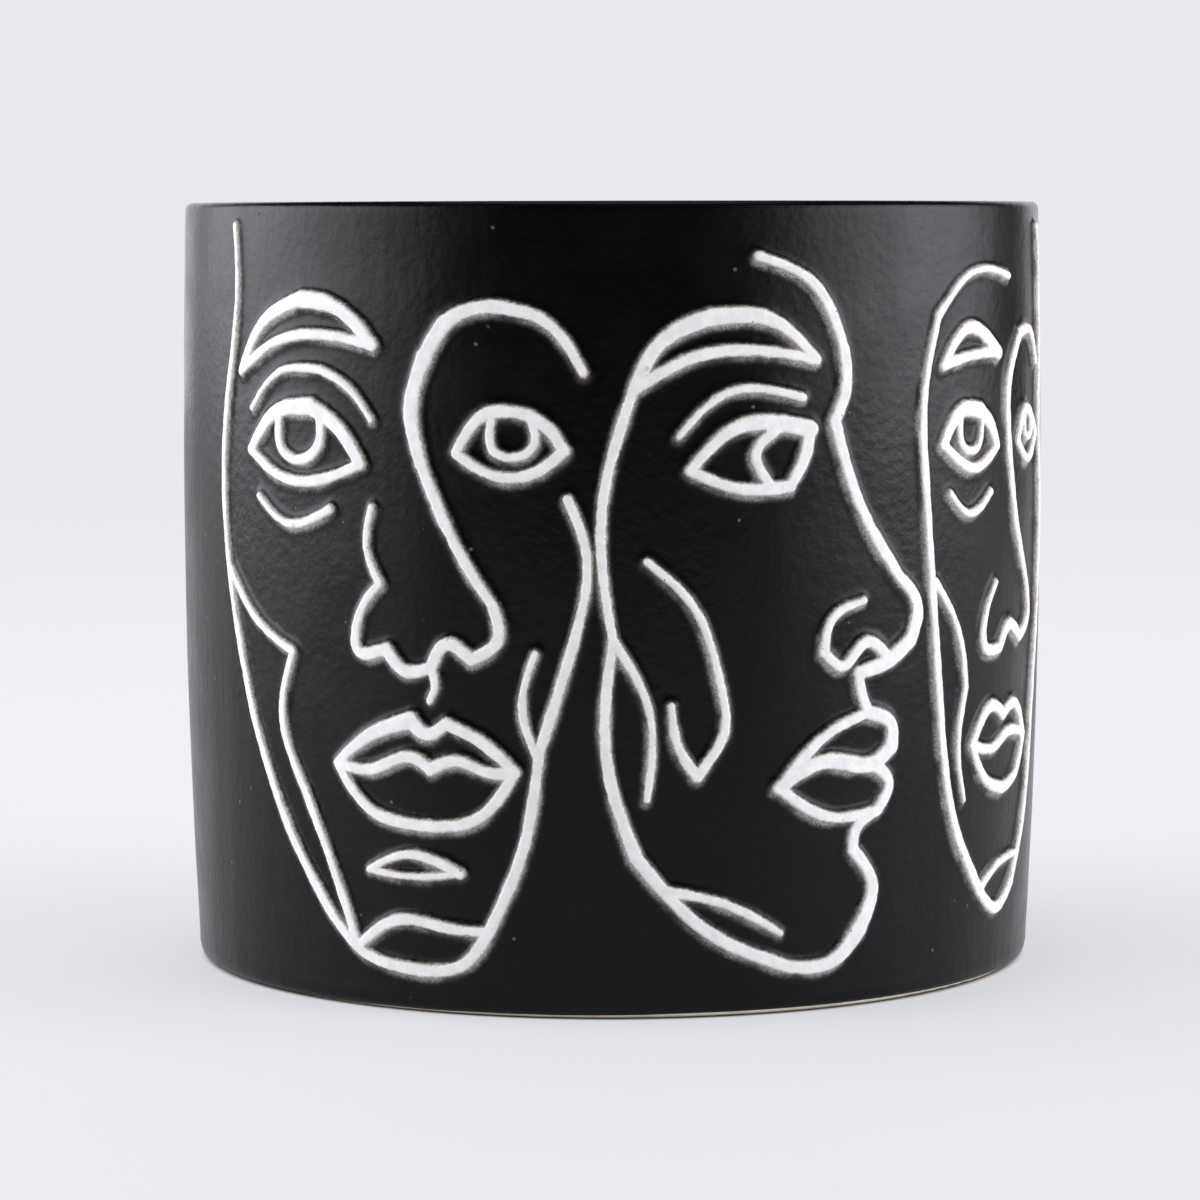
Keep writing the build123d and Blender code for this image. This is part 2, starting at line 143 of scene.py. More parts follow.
MIDDLE_FACE = {
    "profile": [
        (FINE, LINE, [(0.6, 81.6), (7.0, 78.6), (10.6, 71.6)]),
        (LINE, LINE, [(10.6, 71.6), (10.8, 67.6), (9.4, 64.0)]),
        (LINE, LINE, [(9.4, 64.0), (12.4, 55.4), (18.0, 47.0)]),
        (LINE, BOLD, [(18.0, 47.0), (20.8, 43.4), (19.8, 40.0)]),
        (BOLD, LINE, [(19.8, 40.0), (16.4, 37.8), (12.6, 36.8)]),
        (LINE, THIN, [(12.6, 36.8), (13.2, 34.2), (14.0, 32.4)]),
        (LINE, BOLD, [(14.0, 32.4), (17.2, 30.8), (17.2, 28.4)]),
        (BOLD, LINE, [(17.2, 28.4), (14.6, 26.8), (9.0, 27.4), (3.0, 24.8)]),
        (LINE, LINE, [(14.6, 26.8), (17.0, 24.6), (15.4, 21.6)]),
        (LINE, LINE, [(15.4, 21.6), (12.6, 19.8), (12.2, 17.6)]),
        (LINE, BOLD, [(12.2, 17.6), (15.0, 13.4), (13.4, 8.8)]),
        (BOLD, LINE, [(13.4, 8.8), (9.8, 5.4), (4.6, 5.2)]),
        (LINE, LINE, [(4.6, 5.2), (-5.0, 9.6), (-12.8, 17.8)]),
        (LINE, FINE, [(-12.8, 17.8), (-15.8, 27.6), (-15.2, 41.0)]),
        (FINE, THIN, [(-15.2, 41.0), (-16.4, 54.0), (-13.0, 67.6)]),
        (THIN, TIP, [(-9.4, 14.0), (-3.4, 12.6), (3.4, 9.0)]),
        (FINE, TIP, [(-15.2, 41.0), (-11.4, 33.6), (-11.6, 24.0)]),
        (THIN, THIN, [(14.0, 32.4), (9.2, 30.6), (3.0, 24.8)]),
        (THIN, THIN, [(3.0, 24.8), (8.8, 21.4), (15.4, 21.6)]),
        (LINE, THIN, [(16.8, 38.0), (13.4, 40.0), (10.6, 37.6), (8.2, 39.2)]),
        (THIN, TIP, [(8.2, 39.2), (9.2, 42.8), (13.2, 44.6)]),
    ],
    "eye": [
        (THIN, BOLD, [(-7.0, 59.0), (-1.8, 63.6), (6.4, 63.2)]),
        (LINE, LINE, [(6.4, 63.2), (5.6, 60.0), (4.0, 57.2)]),
        (LINE, THIN, [(4.0, 57.2), (-1.4, 57.0), (-7.0, 59.0)]),
        (THIN, THIN, [(2.6, 63.4), (0.2, 60.8), (1.8, 57.2)]),
    ],
    "eye_fold": [
        (TIP, FINE, [(-8.2, 62.6), (-3.0, 67.2), (5.6, 66.6)]),
    ],
    "brow": [
        (THIN, BOLD, [(7.2, 70.6), (1.6, 75.0), (-4.8, 75.2)]),
        (BOLD, THIN, [(-4.8, 75.2), (-9.6, 73.0), (-13.0, 67.6)]),
        (THIN, THIN, [(-13.0, 67.6), (-5.8, 71.2), (1.0, 71.6), (7.2, 70.6)]),
    ],
    "cheek": [
        (TIP, FINE, [(-11.6, 49.4), (-6.8, 44.8), (-3.8, 36.6)]),
        (FINE, THIN, [(-3.8, 36.6), (-3.2, 31.4), (-6.2, 26.4)]),
        (THIN, TIP, [(-6.2, 26.4), (-8.0, 29.0), (-9.0, 34.0)]),
    ],
}

RIGHT_FACE = {
    "outline": [
        (TIP, FINE, [(13.0, 84.8), (13.6, 76.0), (13.2, 68.4)]),
        (FINE, THIN, [(13.2, 68.4), (12.8, 63.0), (13.4, 55.0)]),
        (THIN, THIN, [(13.4, 55.0), (12.8, 43.0), (10.6, 30.0)]),
        (THIN, LINE, [(10.6, 30.0), (8.6, 18.0), (4.8, 10.6)]),
        (LINE, LINE, [(4.8, 10.6), (0.6, 8.2), (-4.0, 10.8)]),
        (LINE, THIN, [(-4.0, 10.8), (-9.4, 18.4), (-12.4, 29.0)]),
        (THIN, THIN, [(-12.4, 29.0), (-14.0, 42.0), (-15.4, 56.0)]),
        (THIN, FINE, [(-15.4, 56.0), (-15.8, 66.0), (-13.4, 75.0)]),
        (FINE, TIP, [(-13.4, 75.0), (-7.4, 79.6), (1.4, 79.2)]),
        (FINE, FINE, [(-13.8, 46.0), (-9.8, 40.4), (-8.2, 34.0)]),
        (FINE, TIP, [(-8.2, 34.0), (-9.4, 27.4), (-8.0, 21.4)]),
        (THIN, TIP, [(-4.0, 10.8), (0.0, 13.0), (6.4, 13.8)]),
    ],
    "brow_and_nose": [
        (TIP, THIN, [(11.4, 69.4), (8.8, 73.0), (4.8, 72.8)]),
        (THIN, LINE, [(4.8, 72.8), (1.4, 68.0), (1.2, 60.0)]),
        (LINE, THIN, [(1.2, 60.0), (3.6, 51.0), (7.2, 44.4)]),
        (THIN, LINE, [(7.2, 44.4), (8.0, 40.8), (5.0, 38.6)]),
        (LINE, LINE, [(5.0, 38.6), (1.6, 40.2), (-0.8, 37.8)]),
        (LINE, TIP, [(-0.8, 37.8), (-4.4, 38.2), (-4.2, 42.0), (-2.0, 45.2)]),
    ],
    "near_brow": [
        (THIN, BOLD, [(-12.6, 69.6), (-8.2, 73.6), (-1.6, 70.8)]),
        (THIN, THIN, [(-1.6, 70.8), (-7.2, 70.6), (-12.6, 69.6)]),
    ],
    "near_eye": [
        (LINE, BOLD, [(-12.6, 61.0), (-9.4, 64.6), (-5.6, 64.4)]),
        (BOLD, THIN, [(-5.6, 64.4), (-3.4, 62.8), (-2.0, 60.4)]),
        (THIN, THIN, [(-2.0, 60.4), (-6.8, 58.2), (-12.6, 61.0)]),
        (FINE, FINE, [(-9.6, 64.2), (-9.0, 60.6), (-6.8, 60.2), (-5.4, 63.8)]),
    ],
    "near_eye_bag": [
        (TIP, FINE, [(-11.4, 55.6), (-7.8, 53.2), (-3.4, 55.4)]),
    ],
    "far_eye": [
        (THIN, LINE, [(3.8, 60.8), (6.8, 64.2), (10.8, 61.4)]),
        (THIN, THIN, [(3.8, 60.8), (7.4, 58.6), (10.8, 61.4)]),
        (FINE, FINE, [(6.2, 63.8), (6.6, 61.2), (8.4, 61.4), (8.6, 63.4)]),
    ],
    "lips": [
        (THIN, LINE, [(-6.6, 27.4), (-2.2, 31.4), (0.6, 30.2)]),
        (LINE, THIN, [(0.6, 30.2), (3.4, 31.2), (7.2, 27.4)]),
        (THIN, THIN, [(-6.6, 27.4), (-1.2, 26.8), (1.0, 27.8), (7.2, 27.4)]),
        (THIN, LINE, [(-6.6, 27.4), (-3.4, 23.2), (0.8, 21.8)]),
        (LINE, THIN, [(0.8, 21.8), (4.6, 23.0), (7.2, 27.4)]),
    ],
}

# Name, azimuth of its middle in degrees from the front towards +X, drawing
FACES = [
    ("left_face", -28.0, LEFT_FACE),
    ("middle_face", 17.5, MIDDLE_FACE),
    ("right_face", 60.5, RIGHT_FACE),
]

# Half turns at which the whole row of faces comes again
HALVES = [("front", 0.0), ("back", math.pi)]

# Raised lines: flat top, rounded edge, skirt below the glaze, and how far their outlines wander
LINE_TOP = 0.54
LINE_EDGE = 0.30
EDGE_ROUNDING = 0.26
EDGE_FALL = 2.2
LINE_SKIRT = 0.17
LINE_LOWEST = -0.15
LINE_SINK = 0.27
LINES_FROM = 1.5
LINES_TO = JAR_HEIGHT - 1.0
WIDTH_WAVER = 0.09
WAVER_LENGTH = 3.0
WAVER_COUNT = 40

# The glaze that climbs their sides
CLIMB = 0.40
CLIMB_FALL = 0.32
CLIMB_REACH = 1.7

# Painted reflection of the bright floor: whitish haze painted on the glaze below and beside the lines,
# shifted down and sideways by these amounts
SHEEN_DOWN = 0.26
SHEEN_SIDEWAYS = 0.10

# The coat stops higher on one side of the foot than on the other, and turns in under its edge
FOOT_RISE = 0.05
FOOT_SLANT = 0.33
FOOT_BARE_SIDE = math.radians(65)
FOOT_TUCK = 0.12
FOOT_STEP = 0.1

# Points on the profile of the coat, with the angle in degrees at which the rim's round starts
ROUND_POINTS = 9
CLAY_ROUND_POINTS = 5
RIM_ROUND_START = 6
FLAT_POINTS = 4
FLAT_INSET = 0.4
CLAY_POINTS = 24
CLAY_DROP = 4.0

# Grids, in millimetres
FIELD_PITCH = 0.1
SKIN_PITCH = 0.26
LINE_PITCH = 0.16
STROKE_STEP = 0.12
FAR = 3.0

# Keeps the last row of a grid of values just short of the grid's end
END_GAP = 1.001

# Unevenness, as pairs of a height in millimetres and a cell in steps of the grid it is made on
SWELL_WAVES = [(0.05, 190), (0.02, 60)]
RAGGED_WAVES = [(0.045, 9), (0.03, 4)]
GRAIN_WAVES = [(0.022, 6)]
FOOT_WAVES = [(0.05, 60), (0.03, 12)]
GRAIN_FADE = 0.3

# The swell dies out over these heights at the foot and below the rim, with none above SWELL_STOP
SWELL_FOOT_FADE = 3.0
SWELL_RIM_FADE = 6.0
SWELL_STOP = JAR_HEIGHT - 1.2

rng = np.random.default_rng(11)


# ---------------------------------------------------------------- drawings


def natural_spline(points, step):
    """Points a step apart on the natural cubic spline through a few control points."""
    knots = np.array(points, float)
    spans = np.linalg.norm(np.diff(knots, axis=0), axis=1)
    count = len(knots)
    matrix = np.eye(count)
    rhs = np.zeros((count, 2))
    for i in range(1, count - 1):
        matrix[i, i - 1] = spans[i - 1]
        matrix[i, i] = 2 * (spans[i - 1] + spans[i])
        matrix[i, i + 1] = spans[i]
        after = (knots[i + 1] - knots[i]) / spans[i]
        before = (knots[i] - knots[i - 1]) / spans[i - 1]
        rhs[i] = 6 * (after - before)
    bend = np.linalg.solve(matrix, rhs)
    run = []
    for i, span in enumerate(spans):
        t = np.arange(0, span, step)[:, None]
        slope = (knots[i + 1] - knots[i]) / span - span * (2 * bend[i] + bend[i + 1]) / 6
        change = (bend[i + 1] - bend[i]) / (6 * span)
        run.append(knots[i] + slope * t + bend[i] / 2 * t**2 + change * t**3)
    run.append(knots[-1:])
    return np.concatenate(run)


def smooth_noise(rows, columns, cell):
    """Smooth random field between about -1 and 1, with its columns joined end to end."""
    down = max(2, int(rows / cell) + 2)
    across = max(3, int(round(columns / cell)))
    values = rng.uniform(-1, 1, (down, across))
    y = np.linspace(0, down - END_GAP, rows)
    x = np.arange(columns) / columns * across
    y0 = y.astype(int)
    x0 = x.astype(int)
    fy = (y - y0)[:, None]
    fx = (x - x0)[None, :]
    fy = fy * fy * (3 - 2 * fy)
    fx = fx * fx * (3 - 2 * fx)
    x1 = (x0 + 1) % across
    upper = values[y0][:, x0] * (1 - fx) + values[y0][:, x1] * fx
    lower = values[y0 + 1][:, x0] * (1 - fx) + values[y0 + 1][:, x1] * fx
    return upper * (1 - fy) + lower * fy


FIELD_ROWS = int(round(JAR_HEIGHT / FIELD_PITCH)) + 1
FIELD_COLUMNS = int(round(HALF_TURN / FIELD_PITCH))


def distance_field(azimuth, drawing):
    """Distance from the edge of a drawing's lines over half a turn of wall, negative inside them."""
    field = np.full((FIELD_ROWS, FIELD_COLUMNS), FAR)
    shift = math.radians(azimuth) * BELLY_RADIUS
    window = int(FAR / FIELD_PITCH)
    for strokes in drawing.values():
        for start_width, end_width, points in strokes:
            run = natural_spline(points, STROKE_STEP)
            share = np.linspace(0, 1, len(run))
            knots = share * len(run) * STROKE_STEP / WAVER_LENGTH
            waver = np.interp(knots, np.arange(WAVER_COUNT), rng.uniform(-1, 1, WAVER_COUNT))
            widths = start_width + (end_width - start_width) * share
            widths = widths * (1 + WIDTH_WAVER * waver)
            for (x, z), width in zip(run, widths):
                row = int(z / FIELD_PITCH)
                column = int((x + shift) / FIELD_PITCH)
                rows = np.arange(max(0, row - window), min(FIELD_ROWS, row + window))
                columns = np.arange(column - window, column + window)
                dz = rows * FIELD_PITCH - z
                dx = columns * FIELD_PITCH - (x + shift)
                away = np.hypot(dz[:, None], dx[None, :]) - width / 2
                part = np.ix_(rows, columns % FIELD_COLUMNS)
                field[part] = np.minimum(field[part], away)
    return field


def sample(field, u, z):
    """Value of a wall field at distances along the wall and heights."""
    columns = (u / FIELD_PITCH) % FIELD_COLUMNS
    rows = np.clip(z / FIELD_PITCH, 0, FIELD_ROWS - END_GAP)
    c0 = columns.astype(int) % FIELD_COLUMNS
    r0 = rows.astype(int)
    fc = columns - np.floor(columns)
    fr = rows - r0
    c1 = (c0 + 1) % FIELD_COLUMNS
    top = field[r0, c0] * (1 - fc) + field[r0, c1] * fc
    low = field[r0 + 1, c0] * (1 - fc) + field[r0 + 1, c1] * fc
    return top * (1 - fr) + low * fr


# ---------------------------------------------------------------- wall shape


def arc_through(first, second, third):
    """Centre and radius of the circle through three points."""
    (ax, ay), (bx, by), (cx, cy) = first, second, third
    rows = np.array([[bx - ax, by - ay], [cx - ax, cy - ay]])
    rhs = np.array([bx**2 - ax**2 + by**2 - ay**2, cx**2 - ax**2 + cy**2 - ay**2]) / 2
    centre = np.linalg.solve(rows, rhs)
    return centre[0], centre[1], math.hypot(ax - centre[0], ay - centre[1])


WALL_X, WALL_Z, WALL_ARC = arc_through(
    (BASE_RADIUS, 0), (BELLY_RADIUS, BELLY_HEIGHT), (RIM_RADIUS, JAR_HEIGHT)
)
FOOT_CENTRE = BASE_RADIUS - GLAZE - FOOT_ROUND
RIM_CENTRE = RIM_RADIUS - GLAZE - RIM_ROUND
LIP_CENTRE = MOUTH_RADIUS + GLAZE + LIP_ROUND
CLAY_LIP_CENTRE = MOUTH_RADIUS + LINER + LIP_ROUND


def wall_radius(z, coat=GLAZE):
    """Radius of the outside at a height, for a coat of some thickness on the clay."""
    side = WALL_X + np.sqrt(WALL_ARC**2 - (z - WALL_Z) ** 2) - GLAZE + coat
    low = np.minimum(z - FOOT_ROUND, 0)
    foot = FOOT_CENTRE + np.sqrt(np.maximum((FOOT_ROUND + coat) ** 2 - low**2, 0))
    return np.minimum(side, np.where(z < FOOT_ROUND, foot, side))


def corner(centre_x, centre_z, radius, first, last, count):
    """Points on a quarter round of a profile, between two angles in degrees."""
    turn = np.radians(np.linspace(first, last, count))
    return np.stack([centre_x + radius * np.cos(turn), centre_z + radius * np.sin(turn)], 1)


def wall_noise(waves):
    """Sum of smooth random fields over half a turn of wall."""
    field = np.zeros((FIELD_ROWS, FIELD_COLUMNS))
    for height, cell in waves:
        field += height * smooth_noise(FIELD_ROWS, FIELD_COLUMNS, cell)
    return field


# Slow unevenness of a cast and dipped wall; it only ever takes away, and dies out at foot and rim
SWELL = wall_noise(SWELL_WAVES)
SWELL -= SWELL.max()
ROW_HEIGHTS = np.arange(FIELD_ROWS) * FIELD_PITCH
SWELL *= np.clip(ROW_HEIGHTS / SWELL_FOOT_FADE, 0, 1)[:, None]
SWELL *= np.clip((SWELL_STOP - ROW_HEIGHTS) / SWELL_RIM_FADE, 0, 1)[:, None]

# Ragged line edges and the fine unevenness of their tops
RAGGED = wall_noise(RAGGED_WAVES)
GRAIN = wall_noise(GRAIN_WAVES)


# ---------------------------------------------------------------- meshes


def make_mesh(name, vertices, quads, fields, material):
    """A smooth-shaded object from millimetre points, four-sided faces and named point values."""
    mesh = bpy.data.meshes.new(name)
    mesh.vertices.add(len(vertices))
    mesh.vertices.foreach_set("co", (vertices * MM).astype(np.float32).ravel())
    mesh.loops.add(quads.size)
    mesh.loops.foreach_set("vertex_index", quads.astype(np.int32).ravel())
    mesh.polygons.add(len(quads))
    mesh.polygons.foreach_set("loop_start", np.arange(0, quads.size, 4, dtype=np.int32))
    mesh.update(calc_edges=True)
    mesh.shade_smooth()
    for field_name, values in fields.items():
        layer = mesh.attributes.new(field_name, "FLOAT", "POINT")
        layer.data.foreach_set("value", values.astype(np.float32).ravel())
    mesh.materials.append(material)
    piece = bpy.data.objects.new(name, mesh)
    bpy.context.scene.collection.objects.link(piece)
    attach(piece, "root")
    return piece


def around(radius, angle, z):
    """Points at radii and heights, at angles from the front towards +X."""
    return np.stack([radius * np.sin(angle), -radius * np.cos(angle), z], -1)


def climb(distance):
    """How far the black glaze stands up against the side of a line."""
    outside = np.clip(distance, 0, CLIMB_REACH)
    return CLIMB * np.exp(-outside / CLIMB_FALL) * (1 - outside / CLIMB_REACH) ** 2


def line_height(distance):
    """Height of a raised line: a flat top, a rounded edge, then a fall below the glaze."""
    inside = np.clip(-distance / EDGE_ROUNDING, 0, 1)
    top = LINE_EDGE + (LINE_TOP - LINE_EDGE) * np.sqrt(1 - (1 - inside) ** 2)
    return np.where(distance > 0, LINE_EDGE - EDGE_FALL * distance, top)


def skin_profile():
    """Closed profile of the black coat: up the outside, over the rim, and back along the clay."""
    top = JAR_HEIGHT
    rim_z = top - GLAZE - RIM_ROUND
    lip_z = top - GLAZE - LIP_ROUND
    wall_z = np.arange(FOOT_LINE, rim_z, SKIN_PITCH)
    clay_z = np.linspace(top - CLAY_DROP, FOOT_LINE, CLAY_POINTS)
    flat_x = np.linspace(RIM_CENTRE - FLAT_INSET, LIP_CENTRE + FLAT_INSET, FLAT_POINTS)
    parts = [
        np.stack([wall_radius(wall_z), wall_z], 1),
        corner(RIM_CENTRE, rim_z, RIM_ROUND + GLAZE, RIM_ROUND_START, 90, ROUND_POINTS),
        np.stack([flat_x, np.full(FLAT_POINTS, top)], 1),
        corner(LIP_CENTRE, lip_z, LIP_ROUND + GLAZE, 90, 180, ROUND_POINTS),
        np.array([[MOUTH_RADIUS, LINER_TOP], [MOUTH_RADIUS + LINER, LINER_TOP]]),
        corner(CLAY_LIP_CENTRE, lip_z, LIP_ROUND, 180, 90, CLAY_ROUND_POINTS),
        corner(RIM_CENTRE, rim_z, RIM_ROUND, 90, 0, CLAY_ROUND_POINTS),
        np.stack([wall_radius(clay_z, 0), clay_z], 1),
    ]
    return np.concatenate(parts), len(wall_z)


def build_skin(field, material):
    """The black coat: one closed skin whose outside climbs every raised line."""
    profile, wall_rows = skin_profile()
    columns = int(round(2 * HALF_TURN / SKIN_PITCH))
    angle = np.arange(columns) / columns * 2 * math.pi
    radius = np.repeat(profile[:, :1], columns, 1)
    height = np.repeat(profile[:, 1:], columns, 1)
    u = np.repeat((angle * BELLY_RADIUS)[None, :], len(profile), 0)
    away = sample(field, u, height)
    away[wall_rows:] = FAR
    # Distance from the lines, moved down and sideways, to place the painted reflection below them
    sheen_distance = sample(field, u + SHEEN_SIDEWAYS, height + SHEEN_DOWN)
    sheen_distance[wall_rows:] = FAR
    change = climb(away) + sample(SWELL, u, height)
    change[wall_rows:] = 0
    radius = radius + change
    height[0] = FOOT_LINE + FOOT_RISE + FOOT_SLANT * np.cos(angle - FOOT_BARE_SIDE)
    for depth, cell in FOOT_WAVES:
        height[0] += depth * smooth_noise(1, columns, cell)[0]
    radius[0] = wall_radius(height[0]) - FOOT_TUCK
    height[-1] = height[0] + FOOT_STEP
    radius[-1] = wall_radius(height[-1], 0)
    points = around(radius, angle[None, :], height)
    rows = len(profile)
    index = np.arange(rows * columns).reshape(rows, columns)
    right = np.roll(index, -1, 1)
    up = np.roll(index, -1, 0)
    both = np.roll(up, -1, 1)
    quads = np.stack([index, right, both, up], -1).reshape(-1, 4)
    fields = {"line_distance": away, "dust_distance": sheen_distance}
    return make_mesh("black_glaze_coat", points.reshape(-1, 3), quads, fields, material)


def build_lines(name, field, azimuth, reach, turn, material):
    """The raised lines of one face as closed beads, cut out of a fine grid on the wall."""
    middle = math.radians(azimuth) * BELLY_RADIUS
    u = np.arange(middle + reach[0], middle + reach[1], LINE_PITCH)
    z = np.arange(LINES_FROM, LINES_TO, LINE_PITCH)
    grid_u, grid_z = np.meshgrid(u, z)
    away = sample(field, grid_u, grid_z)
    corners = np.stack([away[:-1, :-1], away[:-1, 1:], away[1:, 1:], away[1:, :-1]])
    used = corners.min(0) < LINE_SKIRT
    keep = np.zeros(away.shape, bool)
    keep[:-1, :-1] |= used
    keep[:-1, 1:] |= used
    keep[1:, 1:] |= used
    keep[1:, :-1] |= used
    index = np.full(away.shape, -1)
    index[keep] = np.arange(keep.sum())
    level = wall_radius(grid_z) + sample(SWELL, grid_u, grid_z)
    grain = sample(GRAIN, grid_u, grid_z) * np.clip(-away / GRAIN_FADE, 0, 1)
    top = level + np.maximum(line_height(away), LINE_LOWEST) + grain
    angle = grid_u / BELLY_RADIUS + turn
    upper = around(top, angle, grid_z)[keep]
    lower = around(level - LINE_SINK, angle, grid_z)[keep]
    a, b, c, d = index[:-1, :-1], index[:-1, 1:], index[1:, 1:], index[1:, :-1]
    count = len(upper)
    faces = [np.stack([a, b, c, d], -1)[used]]
    faces.append(np.stack([d, c, b, a], -1)[used] + count)
    padded = np.pad(used, 1)
    sides = [
        (a, b, padded[:-2, 1:-1]),
        (b, c, padded[1:-1, 2:]),
        (c, d, padded[2:, 1:-1]),
        (d, a, padded[1:-1, :-2]),
    ]
    for start, end, neighbour in sides:
        open_side = used & ~neighbour
        s = start[open_side]
        e = end[open_side]
        faces.append(np.stack([e, s, s + count, e + count], -1))
    points = np.concatenate([upper, lower])
    fields = {"line_distance": np.concatenate([away[keep], np.full(count, FAR)])}
    return make_mesh(name, points, np.concatenate(faces), fields, material)


# ---------------------------------------------------------------- materials

# Share of the cells that carry a spot, as the brightness of the cell from none to full
SPOT_CHOICE = (0.72, 0.80)

# Black glaze, what shows through it beside the lines, and a whitish painted reflection below them
GLAZE_BLACK = (0.0018, 0.0018, 0.0021)
GLAZE_THIN = (0.085, 0.08, 0.075)
GLAZE_WASHED = (0.42, 0.37, 0.31)
# Whitish painted reflection of the bright floor on the glaze below the lines
GLAZE_PAINTED_SHEEN = (0.40, 0.39, 0.375)
GLAZE_PINHOLE = (0.16, 0.155, 0.15)
GLAZE_SHINE = 0.175
GLAZE_ROUGHNESS = (0.26, 0.32)

# Distances from a line's edge, in millimetres, from none of the effect to all of it
THIN_REACH = (0.36, -0.02)
WASHED_REACH = (0.15, 0.0)
# Reach of the painted reflection below the lines
SHEEN_REACH = (0.95, -0.12)
STAIN_REACH = (-0.20, 0.02)
PIT_REACH = (-0.5, -0.15)

# Power by which the painted reflection below the lines thins out with distance
SHEEN_FALL = 2.6

# Clay of the raised lines and of the foot
LINE_SHADE = (0.735, 0.725, 0.71)
LINE_WHITE = (0.815, 0.808, 0.80)
LINE_STAIN = (0.42, 0.36, 0.29)
LINE_FLECK = (0.55, 0.46, 0.34)
LINE_PIT = (0.06, 0.052, 0.045)
LINE_ROUGHNESS = 0.72
CLAY_SHADE = (0.72, 0.65, 0.53)
CLAY_CREAM = (0.85, 0.79, 0.68)
CLAY_SPECK = (0.28, 0.21, 0.14)
CLAY_ROUGHNESS = 0.85

# Liner glaze
LINER_BLACK = (0.003, 0.003, 0.0033)
LINER_GREY = (0.007, 0.0069, 0.0067)
LINER_ROUGHNESS = (0.22, 0.30)

# Depths of the fine relief, in metres
PEEL_DEPTH = 0.000045
RUN_DEPTH = 0.00006
PINHOLE_DEPTH = 0.00008
LINE_GRAIN_DEPTH = 0.00004
LINE_LUMP_DEPTH = 0.00006
CLAY_GRAIN_DEPTH = 0.00006
LINER_PEEL_DEPTH = 0.00004
LINER_WAVE_DEPTH = 0.00012

# Runs in the glaze are long up and down: share of the noise's scale along X, Y and Z
RUN_STRETCH = (1, 1, 0.12)

# How strongly the small marks show, and how much duller thin glaze is
PINHOLE_SHARE = 0.5
FLECK_SHARE = 0.6
SPECK_SHARE = 0.5
PIT_SHARE = 0.8
THIN_DULLNESS = 0.25

# Paper of the floor: its colour, a painted contact shadow under the jar, and how it passes into the backdrop.
# Reaches are distances from the jar's axis in metres.
PAPER = (0.785, 0.79, 0.80)
# Painted shadow colour of the paper under the foot
PAPER_PAINTED_SHADOW = (0.20, 0.175, 0.15)
PAPER_ROUGHNESS = 0.9
# Painted shadow: radii from the axis over which the dark paper under the foot gives way to open paper
PAPER_CONTACT = (0.0474, 0.0487)
PAPER_FADE = (0.08, 0.55)
PAPER_GLOW_NEAR = 0.55
BACKDROP = (0.812, 0.82, 0.855)
GLOW_FADE = (0.3, 0.9)
GLOW_STRENGTHS = (1.04, 1.0)

def new_material(name):
    """An empty node material: its node tree and its Principled shader."""
    material = bpy.data.materials.new(name)
    material.use_nodes = True
    shader = material.node_tree.nodes["Principled BSDF"]
    return material, material.node_tree, shader


def node(tree, kind, **inputs):
    """A node of a kind with some of its inputs set by name or joined to a socket."""
    made = tree.nodes.new(kind)
    for key, value in inputs.items():
        socket = made.inputs[key.replace("_", " ")]
        if isinstance(value, bpy.types.NodeSocket):
            tree.links.new(value, socket)
        else:
            socket.default_value = value
    return made


def ramp(tree, value, low, high, first=0.0, last=1.0):
    """Smooth step of a value from one level to another."""
    made = node(tree, "ShaderNodeMapRange", Value=value)
    made.interpolation_type = "SMOOTHSTEP"
    made.inputs["From Min"].default_value = low
    made.inputs["From Max"].default_value = high
    made.inputs["To Min"].default_value = first
    made.inputs["To Max"].default_value = last
    return made.outputs["Result"]


def blend_colour(tree, share, first, second):
    """Mix of two colours, each a socket or three numbers."""
    # Inputs 6 and 7 and output 2 are the node's colour sockets
    made = tree.nodes.new("ShaderNodeMix")
    made.data_type = "RGBA"
    tree.links.new(share, made.inputs[0])
    for socket, colour in ((made.inputs[6], first), (made.inputs[7], second)):
        if isinstance(colour, bpy.types.NodeSocket):
            tree.links.new(colour, socket)
        else:
            socket.default_value = (*colour, 1)
    return made.outputs[2]


def math_node(tree, operation, first, second):
    """One arithmetic step on sockets or numbers."""
    made = tree.nodes.new("ShaderNodeMath")
    made.operation = operation
    for socket, value in zip(made.inputs, (first, second)):
        if isinstance(value, bpy.types.NodeSocket):
            tree.links.new(value, socket)
        else:
            socket.default_value = value
    return made.outputs[0]


def noise(tree, scale, detail=2.0, stretch=(1, 1, 1)):
    """Noise in object space, with its scale per metre along each axis."""
    place = tree.nodes.new("ShaderNodeTexCoord").outputs["Object"]
    mapped = node(tree, "ShaderNodeMapping", Vector=place)
    mapped.inputs["Scale"].default_value = stretch
    made = node(tree, "ShaderNodeTexNoise", Vector=mapped.outputs[0], Scale=scale, Detail=detail)
    return made.outputs["Fac"]


def product(tree, first, second):
    """Product of two sockets or numbers."""
    return math_node(tree, "MULTIPLY", first, second)


def mottle(tree, scale, detail, first=0.0, last=1.0, low=0.3, high=0.7):
    """Noise that runs from a first value at a low noise level to a last value at a high one."""
    return ramp(tree, noise(tree, scale, detail), low, high, first, last)


def attribute(tree, name):
    """A named value that each point of the mesh carries."""
    made = tree.nodes.new("ShaderNodeAttribute")
    made.attribute_name = name
    return made.outputs["Fac"]


def spots(tree, scale, size):
    """Sparse round spots: 1 in a spot and 0 elsewhere."""
    place = tree.nodes.new("ShaderNodeTexCoord").outputs["Object"]
    cells = node(tree, "ShaderNodeTexVoronoi", Vector=place, Scale=scale)
    chosen = ramp(tree, cells.outputs["Color"], *SPOT_CHOICE)
    return product(tree, ramp(tree, cells.outputs["Distance"], size, size / 2), chosen)


def bump(tree, height, distance, before=None):
    """Bump of a height field, in metres."""
    made = node(tree, "ShaderNodeBump", Height=height, Distance=distance, Strength=1.0)
    if before is not None:
        tree.links.new(before, made.inputs["Normal"])
    return made.outputs["Normal"]


